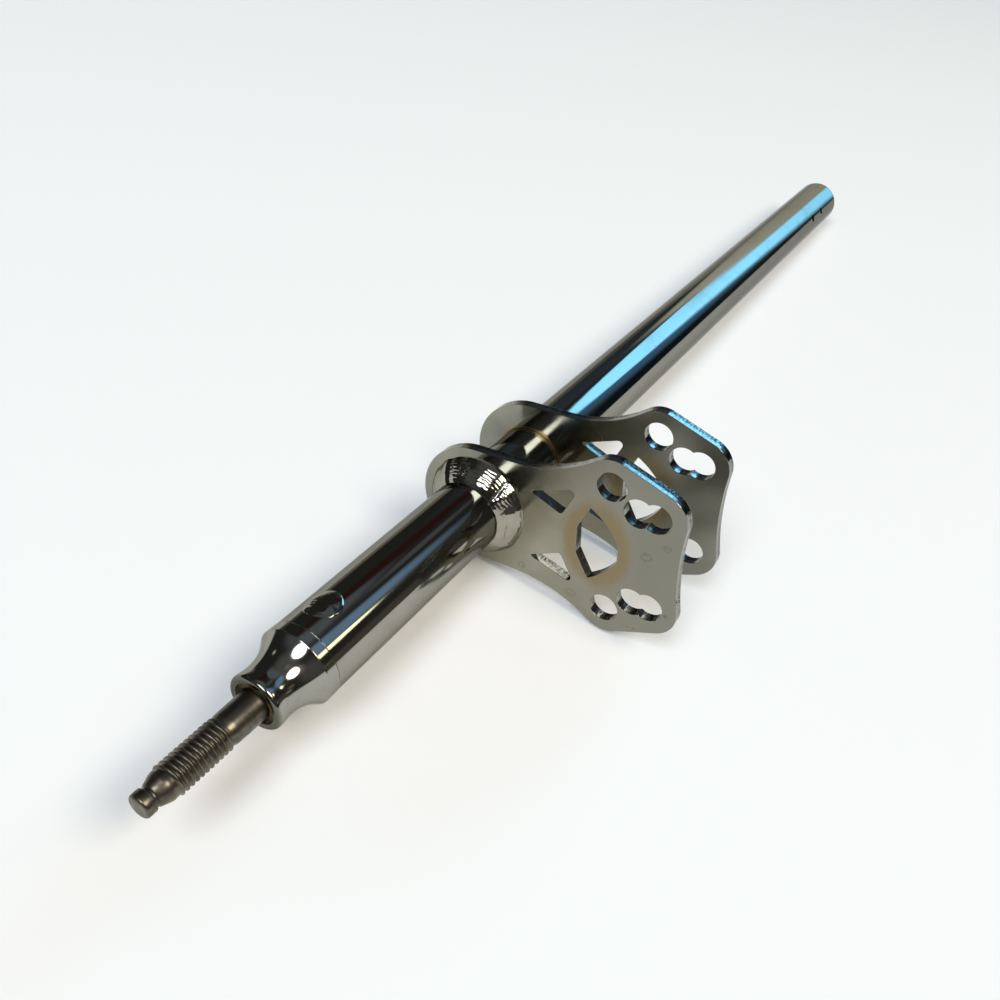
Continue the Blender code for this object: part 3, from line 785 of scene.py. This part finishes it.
# Plated weld metal: bright, with brown left in the creases. Beads are streaky, the puddles run smooth.
weldLook = {
    "bead": {"colour": "#a29e91", "creaseColour": "#53492f", "creases": 0.7, "lumps": (420, 4, 0.55)},
    "puddle": {"colour": "#9f9d94", "creaseColour": "#5c543f", "creases": 0.25, "lumps": (170, 0, 0.55)},
    "roughness": (0.07, 0.18),
    "lumpEdge": (0.45, 0.72),
    "lumpDark": 0.2,
    "lumpBump": (0.4, 0.00003),
    "creaseEdge": (0.49, 0.42),  # pointiness: half is flat, less is hollow
    "glancing": 0.55,
}


def weldFinish(name, look):
    made, tree, shader, point = startMaterial(name, weldLook["glancing"])
    lumps = addNoise(tree, point, *look["lumps"])
    lumpMask = addRamp(tree, lumps, *weldLook["lumpEdge"])
    geometry = addNode(tree, "NewGeometry", {})
    crease = addRamp(tree, geometry.outputs["Pointiness"], *weldLook["creaseEdge"], 0, look["creases"])
    dark = addMath(tree, "MULTIPLY_ADD", lumpMask, weldLook["lumpDark"], crease)
    browned = addMix(tree, dark, look["colour"], look["creaseColour"])
    gloss = addRamp(tree, lumpMask, 0, 1, *weldLook["roughness"])
    lumpBump = addBump(tree, lumps, *weldLook["lumpBump"])
    setInputs(tree, shader, {"Base Color": browned, "Roughness": gloss, "Normal": lumpBump})
    return made


beadMetal = weldFinish("bright_plated_weld", weldLook["bead"])
puddleMetal = weldFinish("bright_plated_puddle", weldLook["puddle"])

# Weld beads: a crowned fillet turned round the tube, then pushed into streaks, ridges, ripples and lumps.
# Angles run round the tube in degrees; share runs from the plate, 0, to the tube, 1.
beadSize = {
    "onPlate": 4.9,
    "onTube": 5.7,
    "sunk": (0.4, 0.3, 0.2),  # into the tube, into the plate beside the tube and at the toe
    "toe": 0.15,  # how far the sunk toe reaches past the bead
    "crown": 0.35,
    "steps": 60,
    "sides": 600,
    "grain": (3, 2),  # how fine the noises run round the tube and across the bead
    "fade": (0.04, 0.92),  # pushes die away towards both toes: start and run of a half wave
    "ripple": 0.22,
    "spacing": 3.2,  # degrees from one ripple to the next
    "rippled": (38, 60, 130, 165),  # angles where ripples begin and end: at the back
    "rippleStray": 5,  # degrees
    "rippleBow": 9,  # degrees that a ripple's ends lag behind its middle
    "rippleShape": (1.6, 0.4),  # steepness, share that lies under the skin
    "rippleSize": (0.6, 0.5),  # least part and what noise adds
    "rippleNoise": (1.7, 2.5, 4),  # from one ripple to the next, across the bead, slice
    "streak": 0.055,
    "streaks": 7,
    "streakSlant": 40,  # degrees over which one streak runs across to the next
    "streakStray": (0.5, 2.2),  # share of a streak, scale
    "streakSize": (0.7, 0.6, 5),  # least part, what noise adds, scale
    "streaky": (-90, -76, -30, -20),
    "combed": (-123, -116, -97, -89),  # a second run, at the left end, with stronger ridges
    "combing": 2.4,
    "lumps": ((380, 0.09), (1100, 0.03)),  # scale, height
    "stop": (-36, 5, 0.5, 0.35, 0.35),  # angle and half width, share and half width, height
    "gap": (-45, 2.4, 8, -0.38),  # between two passes: angle, half width, slant, height
    "seam": (10, 16, 0.7, 0.03, -0.2),  # angle and half width, share and half width, height
    "seamStray": (0.06, 3),  # share, scale
    "toeStray": (0.3, 4, 7),  # distance, scale, slice of the noise
    "tilt": (25, 45),  # which way a push goes, at the tube and added towards the plate
}


def beadPush(co, angle, share):
    # how far a point of the bead's skin is pushed out, in millimetres
    size = beadSize
    turned = math.radians(angle)
    fine, fineAcross = size["grain"]
    around = Vector((math.cos(turned) * fine, math.sin(turned) * fine, fineAcross * share))
    # ripples: saw teeth across the bead
    lag = size["rippleBow"] * (share - 0.5) ** 2 * 4
    phase = (angle + size["rippleStray"] * noise.noise(around) + lag) / size["spacing"]
    whole = math.floor(phase)
    steepness, under = size["rippleShape"]
    least, more = size["rippleSize"]
    step, stepAcross, layer = size["rippleNoise"]
    tooth = least + more * noise.noise(Vector((whole * step, share * stepAcross, layer)))
    ripple = ((phase - whole) ** steepness - under) * tooth * plateau(angle, size["rippled"])
    # streaks: waves that run along the bead
    stray, scale = size["streakStray"]
    line = share * size["streaks"] + angle / size["streakSlant"] + stray * noise.noise(around * scale)
    least, more, scale = size["streakSize"]
    streak = math.sin(2 * math.pi * line) * (least + more * noise.noise(around * scale))
    streak *= plateau(angle, size["streaky"]) + size["combing"] * plateau(angle, size["combed"])
    push = size["ripple"] * ripple + size["streak"] * streak
    push += sum(noise.noise(co * scale) * height for scale, height in size["lumps"])
    at, wide, middle, tall, height = size["stop"]
    push += math.exp(-(((angle - at) / wide) ** 2) - ((share - middle) / tall) ** 2) * height
    at, wide, slant, height = size["gap"]
    push += height * math.exp(-(((angle - at - slant * (share - 0.5)) / wide) ** 2))
    at, wide, middle, tall, height = size["seam"]
    stray, scale = size["seamStray"]
    offSeam = (share - middle - stray * noise.noise(around * scale)) / tall
    push += height * math.exp(-(offSeam**2) - ((angle - at) / wide) ** 4)
    atPlate, fade = size["fade"]
    return push * math.sin(math.pi * min(1, max(0, atPlate + fade * share)))


def weldBead(name, face, away, node):
    # the section's back corner is sunk in the tube and the plate
    onPlate, onTube, crown = beadSize["onPlate"], beadSize["onTube"], beadSize["crown"]
    sunkTube, sunkPlate, sunkToe = beadSize["sunk"]
    sunkRadius, toeRadius = tubeRadius - sunkTube, tubeRadius + onPlate + beadSize["toe"]
    points = [(sunkRadius, face - away * sunkPlate), (toeRadius, face - away * sunkToe)]
    for i in range(beadSize["steps"] + 1):
        share = i / beadSize["steps"]
        straight = (1 - share, share)
        full = (math.cos(share * math.pi / 2), math.sin(share * math.pi / 2))
        across, up = [s * (1 - crown) + f * crown for s, f in zip(straight, full)]
        points.append((tubeRadius - 0.05 + across * onPlate, face + away * up * onTube))
    points.append((sunkRadius, face + away * onTube))
    bead = turnPiece(name, points, beadSize["sides"])
    tiltAtTube, tiltMore = beadSize["tilt"]
    stray, scale, layer = beadSize["toeStray"]
    for vertex in bead.data.vertices:
        rise = away * (vertex.co.z / mm - face)
        if math.hypot(vertex.co.x, vertex.co.y) / mm < tubeRadius - 0.1 or rise < -0.05:
            continue
        turned = math.atan2(vertex.co.y, vertex.co.x)
        share = min(1, max(0, rise / onTube))
        push = beadPush(vertex.co, math.degrees(turned), share)
        wide = stray * noise.noise(Vector((math.cos(turned) * scale, math.sin(turned) * scale, layer)))
        outward = Vector((vertex.co.x, vertex.co.y, 0)).normalized()
        tilt = math.radians(tiltAtTube + tiltMore * (1 - share))
        vertex.co += outward * (push * math.sin(tilt) + wide * (1 - share)) * mm
        vertex.co.z += away * (push * math.cos(tilt) + wide * share) * mm
    finishPiece(bead, beadMetal, 60, node)


halfPlate = 0.5 * plateSize["thickness"]
weldBead("lowerPlateWeld", plateSize["heights"][0] - halfPlate, -1, "lower_plate_weld")
weldBead("upperPlateWeld", plateSize["heights"][1] + halfPlate, 1, "upper_plate_weld")

# Puddle welds: a softly crowned pool in each drilled hole, with a burst bubble and a spilt drop.
puddleSize = {
    "height": tubeSize["puddleHole"][1],
    "angle": tubeSize["puddleHole"][2],
    "skirt": [(4.8, -0.6), (4.76, -0.25), (4.68, -0.07)],  # radius, lift; sunk in the tube
    "rings": (4.55, 4.3, 4.0, 3.7, 3.4, 3.0, 2.5, 2.0, 1.5, 1.0, 0.5, 0.1),
    "sides": 120,
    "dome": (0.323, 4.55, 4.3),  # height, radius, how flat its top is
    "rim": (4.2, 4.7),  # the swells die away here
    "swells": ((0.45, 0.1), (1.1, 0.018), (2.3, 0.004)),  # scale, height
    "drop": (-1.7, -3.5, 1.15, 0.42),  # round the tube, along it, size, height
    "bubble": (-1.9, -1.0, 0.55, 0.1),
    "bubbleWall": 0.22,
}


def puddleLift(around, along, turn):
    fromMiddle = math.hypot(around, along)
    height, radius, flatness = puddleSize["dome"]
    lift = height * max(0, 1 - (fromMiddle / radius) ** flatness)
    spot = Vector((around, along, turn))
    inside = 1 - smoothstep(*puddleSize["rim"], fromMiddle)
    lift += inside * sum(high * noise.noise(spot * scale) for scale, high in puddleSize["swells"])
    atAround, atAlong, size, height = puddleSize["drop"]
    lift += height * math.exp(-2 * (math.hypot(around - atAround, along - atAlong) / size) ** 2)
    atAround, atAlong, size, height = puddleSize["bubble"]
    offWall = (math.hypot(around - atAround, along - atAlong) - size) / puddleSize["bubbleWall"]
    return lift + height * math.exp(-(offWall**2))


def puddleWeld(name, turn, node):
    profile = puddleSize["skirt"] + [(radius, 0) for radius in puddleSize["rings"]]
    pool = turnPiece(name, profile, puddleSize["sides"], closed=False)
    openMesh()
    bpy.ops.mesh.subdivide(number_cuts=2, smoothness=0)
    bpy.ops.object.mode_set(mode="OBJECT")
    for vertex in pool.data.vertices:
        around, along = vertex.co.x / mm, vertex.co.y / mm
        radius = tubeRadius + vertex.co.z / mm + puddleLift(around, along, turn)
        angle = around / tubeRadius
        wrapped = (radius * math.cos(angle), radius * math.sin(angle), puddleSize["height"] + along)
        vertex.co = [part * mm for part in wrapped]
    openMesh()
    bpy.ops.transform.rotate(
        value=math.radians(puddleSize["angle"] + turn), orient_axis="Z", center_override=(0, 0, 0)
    )
    closeMesh()
    finishPiece(pool, puddleMetal, 60, node)


puddleWeld("plugWeldFront", 0, "plug_weld_front")
puddleWeld("plugWeldBack", 180, "plug_weld_back")

# Stage: a pale floor that runs out of sight.
floorLook = {
    "colour": "#f4f3f0",
    "roughness": 0.9,
    "specular": 0.1,
    "size": 40,
    "lift": 0.09,  # how far the seen floor is raised towards white
}
pick()
bpy.ops.mesh.primitive_plane_add(size=floorLook["size"], location=(0, 0, 0))
floor = bpy.context.object
floor.name = "floor"
floorPaint = bpy.data.materials.new("matt_pale_floor")
floorPaint.use_nodes = True
tree = floorPaint.node_tree
rays = addNode(tree, "LightPath", {})
seenBy = addMath(tree, "MAXIMUM", rays.outputs["Is Camera Ray"], rays.outputs["Is Glossy Ray"])
floorInputs = {
    "Base Color": toLinear(floorLook["colour"]),
    "Roughness": floorLook["roughness"],
    "Specular IOR Level": floorLook["specular"],
    "Emission Color": toLinear("#ffffff"),
    "Emission Strength": addMath(tree, "MULTIPLY", seenBy, floorLook["lift"]),
}
setInputs(tree, tree.nodes["Principled BSDF"], floorInputs)
floor.data.materials.append(floorPaint)

# Light: two round softboxes on the camera's side.
lampCentre = Vector((0, 0.02, 0.03))
softboxes = {
    # name: azimuth, elevation, distance, width and height in degrees, colour, brightness where 1 is white
    "softboxBehind": (178, 53.5, 4, 25, 29, "#eef5ff", 9.6),
    "softboxSide": (-93, 55, 4, 31, 25, "#fff6e6", 8.8),
}
for name, (azimuth, elevation, distance, wide, tall, colour, brightness) in softboxes.items():
    width, height = [2 * distance * math.tan(math.radians(angle / 2)) for angle in (wide, tall)]
    lamp = bpy.data.lights.new(name, "AREA")
    lamp.shape = "ELLIPSE"
    lamp.size, lamp.size_y = width, height
    lamp.color = toLinear(colour)[:3]
    lamp.energy = brightness * math.pi * (math.pi / 4) * width * height
    holder = addObject(name, lamp)
    az, el = math.radians(azimuth), math.radians(elevation)
    way = Vector((math.cos(el) * math.cos(az), math.cos(el) * math.sin(az), math.sin(el)))
    holder.location = lampCentre + way * distance
    holder.rotation_euler = (-way).to_track_quat("-Z", "Y").to_euler()
    holder.visible_camera = False

# Room: dark, a little lighter overhead, with soft patches of light for the plating to mirror. Later ones cover
# earlier ones.
room = {"low": "#333431", "high": "#6a6c6c", "highEdge": (0.75, 0.99)}
glows = {
    # name: azimuth, elevation, half width, half height and tilt in degrees, soft edge, boxy, colour,
    # brightness where 1 is white
    "zenith": (-80, 82, 60, 9, 0, (0.3, 1.1), False, "#fbfbf6", 0.27),
    "behindRight": (-122, 22, 42, 32, 0, (0.3, 1.1), False, "#fbfcff", 0.12),
    "behindLeft": (148, 38, 38, 24, 0, (0.3, 1.1), False, "#eef8ff", 0.14),
    "sideHaze": (-112, 50, 24, 18, 0, (0.3, 1.1), False, "#fffdf6", 0.25),
    "overhead": (14, 61, 45, 11, -12, (0.5, 1.1), False, "#d8ebfa", 0.24),
    "blueGlow": (-38.5, 51, 17, 18.5, 0, (0.45, 1.1), False, "#a6d0ff", 0.7),
    "brownHaze": (-70, 22, 9, 7, 0, (0.3, 1.1), False, "#ffeec8", 0.24),
    "creamLamp": (-50.5, 36, 6, 4.2, 0, (0.6, 1.1), False, "#fff9cc", 5),
    "creamStrip": (-64, 12.6, 7, 1.1, 0, (0.4, 1.1), False, "#fffbdc", 1.5),
    "slateHigh": (-5, 49.5, 10, 5.5, 0, (0.4, 1.1), False, "#e0eefa", 0.16),
    "farRight": (-54, 5, 15, 14, 0, (0.4, 1.1), False, "#fff6e4", 0.11),
    "slateWall": (26, 20, 17, 20, 0, (0.5, 1.1), False, "#bcd8f6", 0.105),
    "farLeft": (46, 0, 21, 12, 0, (0.3, 1.1), False, "#fff6e0", 0.4),
    "leftFoot": (35, 5, 8, 6, 0, (0.3, 1.1), False, "#fffcf0", 0.24),
    "brownDoor": (28.5, 44.5, 20, 6.5, 0, (0.6, 1.1), False, "#c87f74", 0.075),
    "darkCorner": (-35, 8, 11, 10, 0, (0.5, 1.1), False, "#7fb0d8", 0.04),
    "navyWall": (-13, 22, 19, 18, 0, (0.55, 1.08), False, "#7fc0ff", 0.45),
    "windowUpper": (-3, 27.5, 15.8, 10.9, 0, (0.88, 1.06), False, "#84d1ff", 3.9),
    "windowLower": (-9, 13.5, 9.8, 12, 0, (0.65, 1.3), True, "#84d1ff", 4.4),
    "paleWall": (11, 6.5, 12.8, 18.3, 0, (0.85, 1.12), True, "#fffff0", 0.95),
    "wallFoot": (25, 2, 7, 8, 0, (0.3, 1.1), False, "#fffff0", 0.65),
    "smallLamp": (90, 31, 6, 4.5, 0, (0.4, 1.1), False, "#fffbe6", 1),
}
world = bpy.data.worlds.new("darkRoom")
world.use_nodes = True
bpy.context.scene.world = world
tree = world.node_tree
sky = addNode(tree, "TexCoord", {})
heading = addNode(tree, "SeparateXYZ", {0: sky.outputs["Generated"]})
overhead = addRamp(tree, heading.outputs["Z"], *room["highEdge"], soft=True)
seen = addMix(tree, overhead, room["low"], room["high"])
bearing = addMath(tree, "ARCTAN2", heading.outputs["Y"], heading.outputs["X"])
rise = addMath(tree, "ARCSINE", heading.outputs["Z"])
compass = addNode(tree, "CombineXYZ", {"X": bearing, "Y": rise}).outputs[0]
for azimuth, elevation, wide, tall, tilt, edge, boxy, colour, brightness in glows.values():
    placed = {
        "Vector": compass,
        "Location": (math.radians(azimuth), math.radians(elevation), 0),
        "Rotation": (0, 0, math.radians(tilt)),
        "Scale": (math.radians(wide), math.radians(tall), 1),
    }
    place = addNode(tree, "Mapping", placed, vector_type="TEXTURE").outputs[0]
    if boxy:
        squared = addVector(tree, "MULTIPLY", place, place)
        away = addMath(tree, "SQRT", addVector(tree, "LENGTH", squared))
    else:
        away = addVector(tree, "LENGTH", place)
    glow = [part * brightness for part in toLinear(colour)[:3]] + [1]
    seen = addMix(tree, addRamp(tree, away, *edge, 1, 0, soft=True), seen, glow)
setInputs(tree, tree.nodes["Background"], {"Color": seen})
print("stage and light set")

# Camera where the photograph was taken from.
view = {
    "place": (-0.27366160, -0.05749174, 0.18587800),
    "turn": (47.630992, -9.765670, -57.460907),
    "lens": 32.604,
    "sensor": 36,
    "nearest": 0.01,
}
cameraData = bpy.data.cameras.new("photoCamera")
cameraData.sensor_width = view["sensor"]
cameraData.lens = view["lens"]
cameraData.clip_start = view["nearest"]
camera = addObject("photoCamera", cameraData)
camera.location = view["place"]
camera.rotation_euler = [math.radians(angle) for angle in view["turn"]]
bpy.context.scene.camera = camera
bpy.context.scene.view_settings.view_transform = "Standard"
